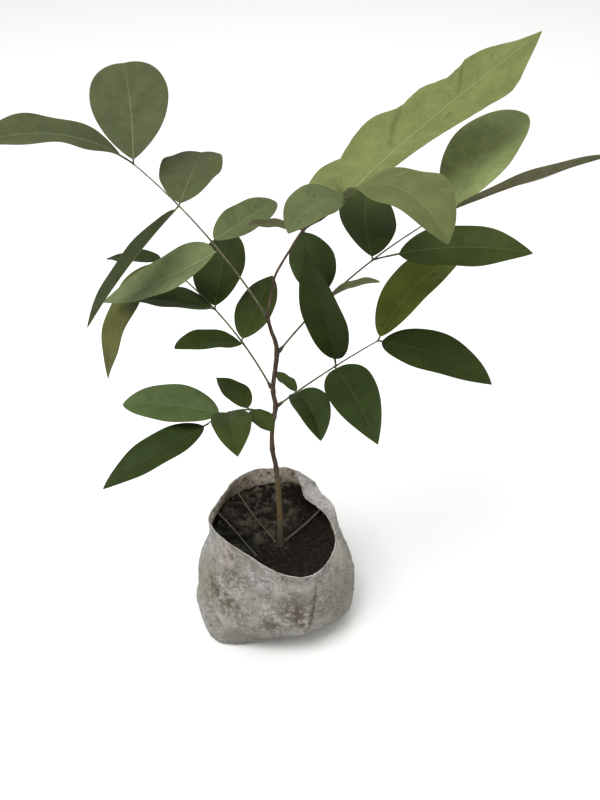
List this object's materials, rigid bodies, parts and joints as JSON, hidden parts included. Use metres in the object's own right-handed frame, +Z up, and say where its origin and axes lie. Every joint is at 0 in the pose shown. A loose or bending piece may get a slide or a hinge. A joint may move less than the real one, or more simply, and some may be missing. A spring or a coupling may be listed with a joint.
{
  "type": "sapling with root ball",
  "caption": "Young broadleaf tree with a thin zigzag stem and arching compound leaves, standing on its root ball in a soft round grow bag.",
  "frame": {"origin": "centre of the grow bag's flat underside, at the level it stands on", "axes": "+Z up along the stem, +X towards the long young leaf, +Y away from the flat-folded front of the bag's rim"},
  "size_m": [0.4084, 0.2078, 0.4847],
  "materials": {
    "bag_film": "thin cloudy grey plastic film, dusty and stained, with soft creases",
    "soil": "dark moist potting soil, matt and crumbly",
    "bark": "thin brown bark, matt, finely ridged",
    "stalk": "smooth olive-brown leaf stalk, satin",
    "leaf": "dark green leaf, satin above, paler vein along the middle",
    "young_leaf": "pale yellow-green new leaf, soft satin",
    "dry_stalk": "dry grey-brown leaf stalk, matt"
  },
  "bodies": {
    "root": {"grow_bag": "bag_film", "root_ball": "soil", "trunk": "bark", "upper_shoot": "bark", "stalk_lower_left": "stalk", "stalk_lower_right": "stalk", "stalk_middle_left": "stalk", "stalk_middle_right": "stalk", "stalk_upper_left": "stalk", "foliage_lower_left": "leaf", "foliage_lower_right": "leaf", "foliage_middle_left": "leaf", "foliage_middle_right": "leaf", "foliage_upper_left": "leaf", "foliage_top": "young_leaf", "dry_stalk_1": "dry_stalk", "dry_stalk_2": "dry_stalk", "dry_stalk_3": "dry_stalk"}
  },
  "joints": []
}
